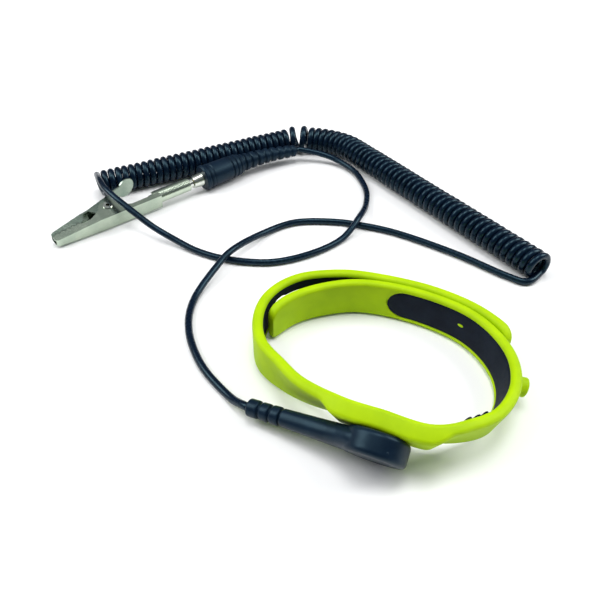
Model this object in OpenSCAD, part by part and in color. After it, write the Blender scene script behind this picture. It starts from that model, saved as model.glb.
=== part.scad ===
// Antistatic wrist strap: elastomer wristband, snap connector, coiled cord, banana plug, alligator clip.
// Millimetres, +Z up. Origin: centre of the wristband's loop, on the table it rests on.

/* [Wristband] */
// Width of the band, top edge to bottom edge
band_w = 12; // [11.5:0.1:12.5]
// Thickness of the band away from the boss
band_t = 3; // [2.8:0.1:3.1]
// Thickness of the band at the boss that holds the stud
boss_t = 5; // [4.8:0.1:5.4]
// Width of the conductive lining set in the inner face
lining_w = 9; // [8:0.5:9.5]
// Depth of the conductive lining
lining_t = 0.8; // [0.6:0.1:1]
// Diameter of the locking pegs on the outer face
peg_d = 5.4; // [5:0.1:5.5]
// Height of the locking pegs
peg_h = 2.2; // [1.8:0.1:2.4]

/* [Snap connector] */
// Diameter of the moulded head round the socket
head_d = 16; // [15.5:0.1:16.4]
// Thickness of the moulded head
head_t = 6.2; // [6:0.1:6.6]
// Length from the stud's axis to the tail of the moulding
boot_len = 35; // [34:0.5:38]
// Diameter of the stud's head
stud_d = 7; // [6.8:0.1:7]

/* [Cord] */
// Diameter of the cord
cord_d = 2.3; // [2.2:0.05:2.35]
// Diameter of the conductor in the cord
core_d = 1; // [0.8:0.05:1.1]
// Outside diameter of the coiled length
coil_d = 10; // [9.8:0.1:10]

/* [Banana plug] */
// Diameter of the grip's flange
grip_d = 10; // [9.6:0.1:10]
// Length of the grip
grip_len = 17.5; // [17:0.5:18]
// Diameter of the plug's contact sleeve
plug_d = 4; // [4:0.05:4.05]

/* [Alligator clip] */
// Thickness of the sheet metal
sheet_t = 0.5; // [0.45:0.05:0.55]
// Outside width of the main jaw across its cheeks
clip_w = 5.6; // [5.5:0.1:5.8]
// Distance from the rivet to the jaws' tips
jaw_len = 22.5; // [22:0.5:23]

/* [Hidden] */

gap = 0.05;             // running and seating clearance
cut = 1;                // how far a cutter passes through a face
lime = [0.66, 0.86, 0.02];
black_rubber = [0.06, 0.07, 0.09];
black_plastic = [0.09, 0.12, 0.18];
nickel = [0.75, 0.78, 0.74];
brass = [0.82, 0.66, 0.36];
copper = [0.80, 0.46, 0.28];
ceramic = [0.45, 0.68, 0.80];

// ---- boss frame: x along the band, y up the band, z out of the boss's face ----
boss_at = [-4, -28.4, 9.7];    // stud axis at the boss's face
boss_turn = -22.5;             // heading of the band at the boss
boss_lean = 31;                // how far the band's top leans out at the boss
seat_gap = 0.3;                // gap from the boss's face to the moulded head
boot_drop = 8;                 // the neck hangs this far below the band's direction

function lean_vec(v) = [v[0], v[1] * cos(90 + boss_lean) - v[2] * sin(90 + boss_lean),
                        v[1] * sin(90 + boss_lean) + v[2] * cos(90 + boss_lean)];
function turn_vec(v, a) = [v[0] * cos(a) - v[1] * sin(a), v[0] * sin(a) + v[1] * cos(a), v[2]];
function boss_vec(v) = turn_vec(lean_vec(v), boss_turn);
function boss_pt(v) = boss_at + boss_vec(v);
module boss_frame() { translate(boss_at) rotate([90 + boss_lean, 0, boss_turn]) children(); }

// neck frame: x from the stud's axis to the tail, z out of the boss's face at mid thickness
neck_z = seat_gap + head_t / 2;
function neck_pt(x) = boss_pt([-x * cos(boot_drop), -x * sin(boot_drop), neck_z]);
module neck_frame() { boss_frame() translate([0, 0, neck_z]) rotate([0, 0, 180 + boot_drop]) children(); }

// ---- wristband path: inner face at mid width, [x, y, z, lean], from the inner end to the tail ----
mid_z = band_w / 2 + 0.17;
boss_in = [for (x = [10.5, 0, -9.5]) boss_pt([x, 0, -boss_t])];
loop_start = [[-30.8, 12.4, mid_z, -1], [-23.6, 19.1, mid_z, -3], [-14.5, 23, mid_z, -1],
              [-5, 24.3, mid_z, 0],
              [5.5, 22, mid_z, 3], [15, 17.7, mid_z, 5], [23.4, 11.4, mid_z + 0.1, 7],
              [28.4, 3.6, mid_z + 0.25, 9], [30.5, -5.3, mid_z + 0.4, 12],
              [28.8, -14.2, mid_z + 0.7, 14], [23.4, -21.9, mid_z + 1.8, 17],
              [16, -26.3, mid_z + 3.9, 22]];
loop_boss = [for (p = boss_in) [p[0], p[1], p[2], boss_lean]];
loop_left = [[-20.4, -13.2, mid_z + 3, 25], [-26.6, -6, mid_z + 1.1, 15], [-31.9, 1.5, mid_z, 4],
             [-33.4, 9.5, mid_z, 0], [-31.9, 17.6, mid_z, 0], [-27.6, 23.8, mid_z, 0],
             [-21.2, 27.7, mid_z, 0], [-12.5, 29, mid_z, 0]];
wrap = band_t + 0.22;   // the tail lies this far outside the inner layer
tail_over = [3, 4, 5, 6, 7, 8];
tail_pull = [0.9, 0, 0, 0, 0.5, 1.6];
function outward(i) =
  let (d = loop_start[i + 1] - loop_start[i - 1]) [-d[1], d[0]] / norm([d[0], d[1]]);
loop_tail = [for (k = [0 : 5])
              let (i = tail_over[k], q = loop_start[i], o = outward(i) * (wrap + tail_pull[k]))
              [q[0] + o[0], q[1] + o[1], q[2], q[3]]];
loop = concat(loop_start, loop_boss, loop_left, loop_tail);
u_end = len(loop) - 1.75;  // the path stops between its last two knots
boss_u = len(loop_start) + 1;

function knot(i) = loop[max(0, min(len(loop) - 1, i))];
function spline(a, b, c, d, t) =
  0.5 * (2 * b + (c - a) * t + (2 * a - 5 * b + 4 * c - d) * t * t + (3 * b - a - 3 * c + d) * t * t * t);
function band_pt(u) = let (i = floor(u)) spline(knot(i - 1), knot(i), knot(i + 1), knot(i + 2), u - i);
function band_out(u) =
  let (d = band_pt(u + 0.02) - band_pt(u - 0.02), n = norm([d[0], d[1]])) [-d[1] / n, d[0] / n];
// a point at depth a outward from the inner face and height b above mid width
function band_xyz(u, a, b) =
  let (p = band_pt(u), o = band_out(u), l = p[3], h = a * cos(l) + b * sin(l))
  [p[0] + o[0] * h, p[1] + o[1] * h, p[2] + b * cos(l) - a * sin(l)];
// turns local z to the band's outward normal and local y up the band
module on_band(u) {
  p = band_pt(u);
  o = band_out(u);
  translate([p[0], p[1], p[2]])
    rotate([90 + p[3], 0, atan2(o[0], -o[1])])
      children();
}

// thickness: band, with a rise to the boss's flat face
function ease(x) = let (c = max(0, min(1, x))) c * c * (3 - 2 * c);
function thick(u) =
  band_t + (boss_t - band_t) * ease((u - boss_u + 1.61) / 0.5) * ease((boss_u + 1.47 - u) / 0.42);
// the ends are rounded over this much of the path
end_round = 0.4;
function round_end(u) = let (d = min(1, min(u, u_end - u) / end_round + 0.02)) sqrt(1 - (1 - d) * (1 - d));
function half_w(u) = band_w / 2 * (0.45 + 0.55 * round_end(u));
function tip_t(u) = thick(u) * (0.55 + 0.45 * round_end(u));

// lining: starts at a rounded end on the inner layer and runs to the tail
lining_u0 = 3.78;
lining_u1 = u_end - 0.8;
function lining_half(u) =
  let (d = max(0, min(1, min(u - lining_u0, lining_u1 - u) / 0.5)))
  lining_w / 2 * sqrt(1 - (1 - d) * (1 - d));

corner = 1.1;           // radius of the band's long edges
edge_steps = 2;         // facets on each rounded edge
// quarter round of radius c beside the corner [a, b], from the face a to the edge b, or back if rev
function quarter(a, b, sa, sb, c, rev) =
  [for (k = [0 : edge_steps])
    let (f = 90 * (rev ? edge_steps - k : k) / edge_steps)
      [a + sa * c * (1 - cos(f)), b - sb * c * (1 - sin(f))]];
// half width and depth of the recess for the lining; a hair's notch where there is no lining
function recess_w(u) = max(0.03, lining_half(u) + gap);
function recess_d(u) = lining_half(u) > 0 ? lining_t + gap : 0.02;
function section(u) =
  let (h = half_w(u), t = tip_t(u), g = recess_w(u), d = recess_d(u),
       c = min(corner, t / 2 - 0.1, h - 0.5))
  concat([[d, -g], [d, g], [0, g]], quarter(0, h, 1, 1, c, false), quarter(t, h, -1, 1, c, true),
         quarter(t, -h, -1, -1, c, false), quarter(0, -h, 1, -1, c, true), [[0, -g]]);

// closed solid through rings of equal length; the first and last rings are its ends
module loft(rings, flip = false) {
  n = len(rings[0]);
  m = len(rings);
  points = [for (r = rings) each r];
  sides = [for (j = [0 : m - 2]) for (i = [0 : n - 1]) let (k = (i + 1) % n, a = j * n, b = a + n)
            each flip ? [[a + i, a + k, b + i], [a + k, b + k, b + i]]
                      : [[a + i, a + k, b + k], [a + i, b + k, b + i]]];
  ends = [[for (i = [n - 1 : -1 : 0]) i], [for (i = [0 : n - 1]) (m - 1) * n + i]];
  polyhedron(points, concat(sides, ends));
}

band_steps = 130;
slot_len = 12.5;
slot_h = 4.8;
slots_u = [20.17, 23.3];      // open slots in the tail
peg_u = 5.95;                 // peg under the tail
free_peg_u = 8.5;             // peg left free on the wrist side
stud_hole_d = 3.4;

module stadium(l, h) {
  square([l - h, h], center = true);
  for (s = [-1, 1])
    translate([s * (l - h) / 2, 0])
      circle(d = h, $fn = 32);
}

// post with a wider domed head
module peg() {
  rise = 0.7;
  dome = (peg_d * peg_d / 4 + rise * rise) / (2 * rise);
  translate([0, 0, band_t - 1])
    cylinder(d = slot_h - 0.6, h = peg_h, $fn = 48);
  intersection() {
    translate([0, 0, band_t + peg_h - 1.2])
      cylinder(d = peg_d, h = 1.2, $fn = 48);
    translate([0, 0, band_t + peg_h - dome])
      sphere(r = dome, $fn = 64);
  }
}

module band() {
  rings = [for (j = [0 : band_steps]) let (u = u_end * j / band_steps)
            [for (p = section(u)) band_xyz(u, p[0], p[1])]];
  color(lime) {
    difference() {
      loft(rings);
      for (u = slots_u)
        on_band(u)
          translate([0, 0, -cut])
            linear_extrude(band_t + 2 * cut)
              stadium(slot_len, slot_h);
      on_band(peg_u)
        translate([0, 0, band_t + 0.08])
          cylinder(d = peg_d + 0.4, h = band_t + cut, $fn = 48);
      boss_frame()
        translate([0, 0, -boss_t - cut])
          cylinder(d = stud_hole_d, h = boss_t + 2 * cut, $fn = 48);
      boss_frame()
        translate([0, 0, -flange_t - gap])
          cylinder(d = flange_d + 2 * gap, h = cut + flange_t, $fn = 64);
    }
    on_band(peg_u) peg();
    on_band(free_peg_u) peg();
  }
}

module contact_lining() {
  least_half = 0.4;
  rings = [for (j = [0 : band_steps]) let (u = u_end * j / band_steps, g = lining_half(u))
            if (g > least_half)
              [for (p = [[0, g], [lining_t, g], [lining_t, -g], [0, -g]]) band_xyz(u, p[0], p[1])]];
  color(black_rubber)
    difference() {
      loft(rings, flip = true);
      for (u = slots_u)
        on_band(u)
          translate([0, 0, -cut])
            linear_extrude(band_t + 2 * cut)
              stadium(slot_len, slot_h);
      boss_frame()
        translate([0, 0, -boss_t - cut])
          cylinder(d = stud_hole_d, h = boss_t + cut, $fn = 48);
      on_band(peg_u)
        translate([0, 0, band_t + 0.08])
          cylinder(d = peg_d + 0.4, h = band_t + cut, $fn = 48);
    }
}

// ---- snap stud, in the boss frame ----
flange_d = 9;
flange_t = 0.8;
post_d = 3.2;
shank_d = 2;
neck_d = 6.2;
stud_h = 3;

module snap_stud() {
  color(nickel)
    boss_frame()
      rotate_extrude($fn = 64)
        polygon([[shank_d / 2 + gap, -boss_t + lining_t + 0.4], [post_d / 2, -boss_t + lining_t + 0.4],
                 [post_d / 2, -flange_t], [flange_d / 2, -flange_t], [flange_d / 2, 0], [neck_d / 2, 0],
                 [neck_d / 2, 1.2], [stud_d / 2, 1.8], [stud_d / 2, stud_h - 0.7],
                 [stud_d / 2 - 0.7, stud_h], [shank_d / 2 + gap, stud_h]]);
}

module stud_backplate() {
  plate_d = 6.4;
  plate_t = 0.5;
  color(nickel)
    boss_frame()
      rotate_extrude($fn = 64)
        polygon([[0, -boss_t - plate_t - gap], [plate_d / 2, -boss_t - plate_t - gap],
                 [plate_d / 2, -boss_t - gap], [shank_d / 2, -boss_t - gap],
                 [shank_d / 2, stud_h - 0.4], [0, stud_h - 0.4]]);
}

// ---- snap connector ----
cup_od = 11.6;
cup_t = 0.4;
cup_z0 = seat_gap + 0.1;
cup_h = 3.6;
ring_wire = 0.7;
ring_z = 1.2;
head_round = 1.4;
collar_n = 3;

module snap_boot() {
  r = head_d / 2;
  z0 = seat_gap;
  z1 = seat_gap + head_t;
  tail_r = 2.3;
  color(black_plastic)
    difference() {
      union() {
        boss_frame()
          rotate_extrude($fn = 96)
            union() {
              translate([0, z0]) square([r - head_round, head_t]);
              translate([0, z0 + head_round]) square([r, head_t - 2 * head_round]);
              for (z = [z0 + head_round, z1 - head_round])
                translate([r - head_round, z]) circle(r = head_round, $fn = 32);
            }
        // the flare from the head to the neck keeps the head's thickness
        intersection() {
          neck_frame()
            translate([2, 0, 0])
              rotate([0, 90, 0])
                cylinder(r1 = 7, r2 = 2.9, h = 16, $fn = 64);
          boss_frame()
            translate([-50, -50, z0 + 0.3])
              cube([100, 100, head_t - 0.6]);
        }
        neck_frame()
          translate([2, 0, 0])
            rotate([0, 90, 0])
              cylinder(r1 = head_t / 2, r2 = tail_r - 0.1, h = boot_len - 10, $fn = 64);
        neck_frame()
          rotate([0, 90, 0])
            cylinder(r = tail_r - 0.55, h = boot_len - 0.5, $fn = 48);
        neck_frame()
          for (k = [0 : collar_n - 1])
            translate([boot_len - 2.4 - k * 3, 0, 0])
              rotate([0, 90, 0])
                cylinder(r = tail_r - 0.08 * (collar_n - 1 - k) + 0.16, h = 2.4, $fn = 48);
      }
      boss_frame()
        translate([0, 0, z0 - cut])
          cylinder(d = cup_od + 2 * gap, h = cut + cup_h + 0.2, $fn = 64);
      // chamber for the solder tab, the resistor and the crimp
      neck_frame()
        rotate([0, 90, 0])
          cylinder(d = 3, h = 26, $fn = 48);
      neck_frame()
        rotate([0, 90, 0])
          cylinder(d = cord_d + 0.3, h = boot_len + cut, $fn = 48);
    }
}

module socket_cup() {
  lip_d = stud_d + 0.5;
  color(nickel)
    boss_frame()
      rotate_extrude($fn = 64)
        polygon([[lip_d / 2, cup_z0], [cup_od / 2, cup_z0], [cup_od / 2, cup_z0 + cup_h - 0.6],
                 [0.9, cup_z0 + cup_h - 0.6], [0.9, cup_z0 + cup_h - 0.6 - cup_t + 0.05],
                 [cup_od / 2 - cup_t, cup_z0 + cup_h - 0.6 - cup_t + 0.05],
                 [cup_od / 2 - cup_t, cup_z0 + cup_t], [lip_d / 2, cup_z0 + cup_t]]);
}

// split wire ring, held in the cup round the stud's neck
module socket_spring() {
  mean_r = stud_d / 2 + gap + ring_wire / 2;
  color(brass)
    boss_frame()
      translate([0, 0, ring_z + 0.5])
        rotate_extrude(angle = 330, start = 195, $fn = 64)
          translate([mean_r, 0])
            circle(d = ring_wire, $fn = 24);
}

// washer behind the cup with a tongue that bends to the resistor
module socket_tab() {
  tab_t = 0.3;
  color(brass)
    boss_frame()
      translate([0, 0, cup_z0 + cup_h - 0.6])
        difference() {
          linear_extrude(tab_t)
            union() {
              circle(d = 8, $fn = 64);
              rotate(180 + boot_drop) translate([0, -0.8]) square([7.6, 1.6]);
            }
          translate([0, 0, -cut])
            cylinder(r = 0.9, h = 2 * cut + tab_t, $fn = 32);
        }
}

res_x = 13;             // middle of the resistor along the neck
res_len = 6.4;
res_d = 2.3;
cap_len = 1.2;
wire_d = 0.5;

module along_neck(x0, x1, d, hole = 0) {
  neck_frame()
    translate([x0, 0, 0])
      rotate([0, 90, 0])
        difference() {
          cylinder(d = d, h = x1 - x0, $fn = 48);
          if (hole > 0)
            translate([0, 0, -cut])
              cylinder(d = hole, h = x1 - x0 + 2 * cut, $fn = 32);
        }
}

module resistor_body() {
  color(ceramic)
    along_neck(res_x - res_len / 2 + cap_len + gap / 2, res_x + res_len / 2 - cap_len - gap / 2,
               res_d - 0.3);
}

module resistor_caps() {
  color(nickel)
    for (x = [res_x - res_len / 2, res_x + res_len / 2 - cap_len])
      along_neck(x, x + cap_len, res_d);
}

module resistor_leads() {
  color(nickel) {
    along_neck(7.9, res_x - res_len / 2 - gap / 2, wire_d);
    along_neck(res_x + res_len / 2 + gap / 2, 20.5, wire_d);
  }
}

crimp_x0 = 18.4;
crimp_x1 = 24.4;

module boot_crimp() {
  color(copper)
    along_neck(crimp_x0, crimp_x1, 2, core_d + 2 * gap);
}

// ---- plug and clip frame: origin on the plug's axis at the grip's front face, x from clip to cord ----
plug_at = [-61.2, 97.6, grip_d / 2];
plug_turn = 38.1;
plug_pitch = 2;         // the grip is thicker than the clip, so the clip's tip hangs lower
plug_dir = [cos(plug_turn) * cos(plug_pitch), sin(plug_turn) * cos(plug_pitch), sin(plug_pitch)];
function plug_pt(x) = plug_at + x * plug_dir;
module plug_frame() { translate(plug_at) rotate([0, -plug_pitch, plug_turn]) children(); }
clip_roll = 12;         // the clip lies rolled on the plug, its back plate turned towards the table
module clip_frame() { plug_frame() rotate([clip_roll, 0, 0]) children(); }
module plug_revolve() { plug_frame() rotate([0, 90, 0]) rotate_extrude($fn = 64) children(); }

// ---- cord: a coiled length between two loose leads ----
r_coil = (coil_d - cord_d) / 2;
coil_a0 = 26.5;         // heading of the coil's left branch
coil_l0 = 76.5;         // length of the left branch
coil_r = 24.4;          // radius of the bend
coil_turn = 81.5;       // angle of the bend
coil_l1 = 94;           // length of the right branch
coil_at = [-99.3, 93.6, coil_d / 2];
bend_start = coil_at + coil_l0 * [cos(coil_a0), sin(coil_a0), 0];
bend_mid = bend_start + coil_r * [sin(coil_a0), -cos(coil_a0), 0];
coil_a1 = coil_a0 - coil_turn;
bend_end = bend_mid + coil_r * [-sin(coil_a1), cos(coil_a1), 0];
coil_end = bend_end + coil_l1 * [cos(coil_a1), sin(coil_a1), 0];

cord_r = cord_d / 2;
floor_z = cord_r;
lead_a = [[-42.3, -9.6, 1.4], [-50.8, 1.8, floor_z], [-56.2, 16, floor_z], [-56.4, 30, floor_z],
          [-50.5, 44.5, 3], [-45.4, 52.6, 4.2], [-36, 65.6, 1.6], [-25, 73, floor_z], [-12, 73.6, floor_z],
          [-1.6, 71.4, floor_z], [12, 66, floor_z], [30, 54.2, floor_z], [44.7, 42, floor_z],
          [51, 38.8, 1.4]];
lead_b = [[-15, 119.8, 4], [-7.6, 116.6, 2.6], [-0.6, 108.6, 1.6], [2.8, 96, floor_z], [1.9, 84, 1.8],
          [-1.6, 72, 4], [-8.4, 62.4, floor_z], [-20, 53.6, floor_z], [-33, 49.2, floor_z],
          [-46.8, 50.6, floor_z], [-58, 55.2, floor_z], [-67.8, 61.1, 2.6], [-75.1, 64.7, 5.2],
          [-81.1, 68.7, 7.6], [-85.3, 71.7, 9.2], [-89.4, 75, 10.5], [-94.1, 80.2, 11.3],
          [-97.4, 86.3, 11]];

module ring_2d(d, hole) {
  difference() {
    circle(d = d, $fn = 48);
    circle(d = hole, $fn = 48);
  }
}

// smooth path through points, with stations between each two
stations = 2;
function path_knot(pts, i) = pts[max(0, min(len(pts) - 1, i))];
function path_at(pts, u) =
  let (i = max(0, min(floor(u), len(pts) - 2)),
       p = spline(path_knot(pts, i - 1), pts[i], pts[i + 1], path_knot(pts, i + 2), u - i))
  [p[0], p[1], max(p[2], floor_z)];
function path_ring(pts, u, r, n) =
  let (t = path_at(pts, u + 0.01) - path_at(pts, u - 0.01),
       s = cross(t, [0, 0, 1]) / norm(cross(t, [0, 0, 1])), v = cross(s, t) / norm(t), p = path_at(pts, u))
  [for (i = [0 : n - 1]) let (a = 360 * i / n) p + r * (cos(a) * s - sin(a) * v)];

// cord along a path, with its bore open at both ends if hole is set, stopping short by this many knots
module flex_tube(pts, d, hole, n, short = 0) {
  m = (len(pts) - 1 - short) * stations + 1;
  outer = [for (j = [0 : m - 1]) each path_ring(pts, j / stations, d / 2, n)];
  inner = [for (j = [0 : m - 1]) each path_ring(pts, j / stations, hole / 2, n)];
  far = m * n;
  last = (m - 1) * n;
  sides = [for (j = [0 : m - 2]) for (i = [0 : n - 1]) let (k = (i + 1) % n, a = j * n, b = a + n)
            each [[a + i, b + k, a + k], [a + i, b + i, b + k]]];
  bore = [for (f = sides) [f[0] + far, f[2] + far, f[1] + far]];
  rims = [for (i = [0 : n - 1]) let (k = (i + 1) % n)
           each [[i, k, far + k], [i, far + k, far + i],
                 [last + i, far + last + k, last + k], [last + i, far + last + i, far + last + k]]];
  caps = [[for (i = [0 : n - 1]) i], [for (i = [n - 1 : -1 : 0]) last + i]];
  if (hole > 0)
    polyhedron(concat(outer, inner), concat(sides, bore, rims));
  else
    polyhedron(outer, concat(sides, caps));
}

core_start = 21;        // where the conductor's bare end starts in the neck
jacket_start = 24.6;
plug_core_x = 11.5;     // where it ends in the grip's crimp
plug_jacket_x = 15;
relief_start = plug_pt(grip_len);
relief_end = [-25.1, 120.5, 5];
relief_dir = (relief_end - relief_start) / norm(relief_end - relief_start);
// point on the last turn, just past the end of the coiled length; angle 0 is the left side, 90 the top
function end_turn(p, heading, way, a) =
  p + way * (cord_r + 0.25) * [cos(heading), sin(heading), 0]
    + r_coil * [-sin(heading) * cos(a), cos(heading) * cos(a), sin(a)];
cord_a = concat([for (x = [jacket_start, boot_len - 1, boot_len + 1.5]) neck_pt(x)], lead_a,
                [for (a = [-60 : 35 : 150]) end_turn(coil_end, coil_a1, 1, a)]);
cord_b = concat([plug_pt(plug_jacket_x), relief_start, relief_start + 9 * relief_dir, relief_end,
                 relief_end + 3 * relief_dir], lead_b,
                [for (a = [95 : -35 : -45]) end_turn(coil_at, coil_a0, -1, a)]);
core_a = concat([neck_pt(core_start)], cord_a);
core_b = concat([plug_pt(plug_core_x)], cord_b);
core_short = 2;         // the conductor stops this many knots before the coiled length

module cord_leads() {
  hole = core_d + 2 * gap;
  color(black_rubber) {
    flex_tube(cord_a, cord_d, hole, 12);
    flex_tube(cord_b, cord_d, hole, 12);
  }
}

// the coiled length is a sleeve with the coil's inside and outside diameters
module cord_coil() {
  module section() { ring_2d(coil_d, coil_d - 2 * cord_d); }
  module bar(p, a, l)
    translate(p)
      rotate([0, 90, a])
        linear_extrude(l)
          section();
  color(black_rubber) {
    bar(coil_at, coil_a0, coil_l0);
    translate(bend_mid)
      rotate_extrude(angle = coil_turn, start = 90 + coil_a1, $fn = 128)
        translate([coil_r, 0])
          section();
    bar(bend_end, coil_a1, coil_l1);
  }
}

module cord_conductor() {
  color(copper) {
    flex_tube(core_a, core_d, 0, 8, core_short);
    flex_tube(core_b, core_d, 0, 8, core_short);
  }
}

// ---- banana plug ----
pin_len = 24;           // pin's tip to the grip's face
pin_d = 3.2;
pin_rear_d = 4.6;
crimp_x = [5, 14];
crimp_d = 2.6;
relief_root_d = 6;
relief_root = 3;

module plug_handle() {
  r = grip_d / 2;
  l = grip_len;
  color(black_plastic)
    difference() {
      plug_revolve()
        polygon([[0, 0], [r - 0.5, 0], [r, 0.5], [r, 1.3], [r - 0.5, 1.7], [r - 0.5, 2.3], [r - 0.15, 2.5],
                 [r - 0.15, 3.1], [r - 0.5, 3.3], [r - 0.5, 3.9], [r - 0.3, 4.2], [r - 0.5, l - 5.5],
                 [r - 1, l - 5.2], [r - 1, l - 4.7], [r - 0.55, l - 4.4], [r - 0.6, l - 3.6],
                 [r - 1.1, l - 3.3], [r - 1.1, l - 2.8], [r - 0.65, l - 2.5], [r - 0.7, l - 1.7],
                 [r - 1.2, l - 1.4],
                 [r - 1.2, l - 1], [r - 0.9, l - 0.8], [r - 1.1, l - 0.3], [r - 1.4, l], [0, l]]);
      plug_revolve()
        polygon([[0, -cut], [pin_rear_d / 2 + gap, -cut], [pin_rear_d / 2 + gap, 4 + gap],
                 [crimp_d / 2 + gap, 4 + gap], [crimp_d / 2 + gap, l - relief_root],
                 [relief_root_d / 2 + gap, l - relief_root],
                 [relief_root_d / 2 + gap, l + cut], [0, l + cut]]);
    }
}

// ribbed sleeve, leaning a little from the plug's axis with the pull of the cord; its root is in the grip
module bend_relief() {
  ribs = 9;
  l = norm(relief_end - relief_start);
  root = -2.4;            // how far the sleeve reaches back into the grip
  root_r = 2.4;
  first = 0.75;           // the first rib clears the grip's end though the sleeve leans
  pitch = (l - first - 1) / ribs;
  bore = cord_d / 2 + 0.3;
  outline = [for (k = [0 : ribs - 1]) let (r = 3.5 - 0.14 * k, g = 2.6 - 0.08 * k, x = first + k * pitch)
              each [[r, x + 0.05], [r, x + pitch * 0.6], [g, x + pitch * 0.65], [g, x + pitch * 0.98]]];
  color(black_rubber)
    translate(relief_start)
      rotate([0, acos(relief_dir[2]), atan2(relief_dir[1], relief_dir[0])])
        rotate_extrude($fn = 48)
          polygon(concat([[bore, 1], [bore + 0.35, 0], [bore + 0.35, root], [root_r, root], [root_r, first]],
                         outline, [[1.9, l - 0.9], [1.8, l], [bore, l]]));
}

module plug_pin() {
  r = pin_d / 2;
  tail = crimp_d / 2 - 0.45;
  color(nickel)
    plug_revolve()
      polygon([[0, -pin_len], [0.7, -pin_len + 0.1], [1.3, -pin_len + 0.6], [r, -pin_len + 1.4],
               [r, -7.2], [1.75, -7], [1.75, -4.8], [2.3, -4.5], [2.7, -0.6], [2.7, -gap],
               [pin_rear_d / 2, -gap], [pin_rear_d / 2, 4], [tail, 4], [tail, 10], [0, 10]]);
}

// sprung sleeve round the pin, open along four slots between its end bands
module plug_spring() {
  x0 = -21;
  x1 = -7.3;
  color(brass)
    difference() {
      plug_revolve()
        polygon([[pin_d / 2 + gap, x0], [plug_d / 2 - 0.2, x0], [plug_d / 2, x0 + 1.5],
                 [plug_d / 2, x1 - 1.5], [plug_d / 2 - 0.1, x1], [pin_d / 2 + gap, x1]]);
      plug_frame()
        for (a = [45 : 90 : 315])
          rotate([a, 0, 0])
            translate([x0 + 2, -0.35, 0])
              cube([x1 - x0 - 4, 0.7, plug_d]);
    }
}

module plug_crimp() {
  color(copper)
    plug_revolve()
      polygon([[0.85 + gap, crimp_x[0]], [crimp_d / 2, crimp_x[0]], [crimp_d / 2, crimp_x[1]],
               [core_d / 2 + gap, crimp_x[1]], [core_d / 2 + gap, 10.5], [0.85 + gap, 10.5]]);
}

// ---- alligator clip: folded sheet, cheeks across z, back plates across y ----
rivet_at = [-38.5, 2.5];
tip_x = rivet_at[0] - jaw_len;
back_y = -3;            // outer face of the main jaw's back plate
tip_half = 1.35;        // half width at the tips
straight_x = -43.5;     // cheeks run parallel from here back
rear_x = -19.5;         // rear end of the folded channel
barrel_x = [-22, -6.5];
barrel_id = plug_d + 2 * gap;
teeth_x = tip_x + 0.8;
tooth = 2;
tooth_n = 5;
tooth_h = 0.9;
bite = 0.2;             // gap between the jaws' teeth when shut
pivot_d = 2.4;
ear_r = 2.5;

function jaw_half(x) =
  tip_half + (clip_w / 2 - tip_half) * min(1, max(0, (x - tip_x) / (straight_x - tip_x)));
// teeth line from the tip back, raised by dy
function teeth(dy) =
  [for (k = [0 : 2 * tooth_n]) [teeth_x + k * tooth / 2, dy + (k % 2 == 0 ? -0.3 : -0.3 + tooth_h)]];

// a folded trough: side outline across the whole width, less the inside
module folded(plan, inner, side, hollow) {
  difference() {
    intersection() {
      rotate([90, 0, 0])
        linear_extrude(60, center = true)
          polygon(plan);
      linear_extrude(20, center = true)
        polygon(side);
    }
    intersection() {
      rotate([90, 0, 0])
        linear_extrude(60, center = true)
          polygon(inner);
      linear_extrude(20, center = true)
        polygon(hollow);
    }
  }
}

module main_jaw() {
  w = clip_w / 2;
  s = sheet_t;
  plan = [[tip_x, -tip_half], [straight_x, -w], [rear_x, -w], [rear_x, w], [straight_x, w],
          [tip_x, tip_half]];
  inner = [[tip_x - 1, -tip_half + s], [tip_x, -tip_half + s], [straight_x, -w + s], [rear_x + 1, -w + s],
           [rear_x + 1, w - s], [straight_x, w - s], [tip_x, tip_half - s], [tip_x - 1, tip_half - s]];
  hollow = [[tip_x - 1, back_y + s], [rear_x + 1, back_y + s], [rear_x + 1, 20], [tip_x - 1, 20]];
  side = concat([[rear_x, back_y], [tip_x + 1.2, back_y], [tip_x + 0.3, back_y + 0.5],
                 [tip_x, back_y + 1.4], [tip_x, -0.3]], teeth(0),
                [[-48.5, -0.4], [-46.5, -0.4], [-44, 0.9], [-42.3, 2.2], [-41.5, rivet_at[1] + 1.6],
                 [-39.8, rivet_at[1] + ear_r], [-37.2, rivet_at[1] + ear_r], [-35.7, rivet_at[1] + 1.4],
                 [-34, 0.4], [-30.5, -1], [rear_x, -0.8]]);
  color(nickel)
    clip_frame()
      difference() {
        union() {
          folded(plan, inner, side, hollow);
          translate([barrel_x[0], 0, 0])
            rotate([0, 90, 0])
              cylinder(d = barrel_id + 2 * s, h = barrel_x[1] - barrel_x[0], $fn = 64);
        }
        translate([barrel_x[0] - cut, 0, 0])
          rotate([0, 90, 0])
            cylinder(d = barrel_id, h = barrel_x[1] - barrel_x[0] + 2 * cut, $fn = 64);
        // seam where the rolled barrel meets itself
        translate([barrel_x[0] - cut, 0, -0.15])
          cube([barrel_x[1] - barrel_x[0] + 2 * cut, 4, 0.3]);
        // the channel stays open over the barrel's root
        translate([barrel_x[0] - cut, -0.8, -w + s])
          cube([cut + 1, 5, 2 * (w - s)]);
        translate([rivet_at[0], rivet_at[1], 0])
          cylinder(d = pivot_d + 2 * gap, h = 20, center = true, $fn = 48);
      }
}

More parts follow.
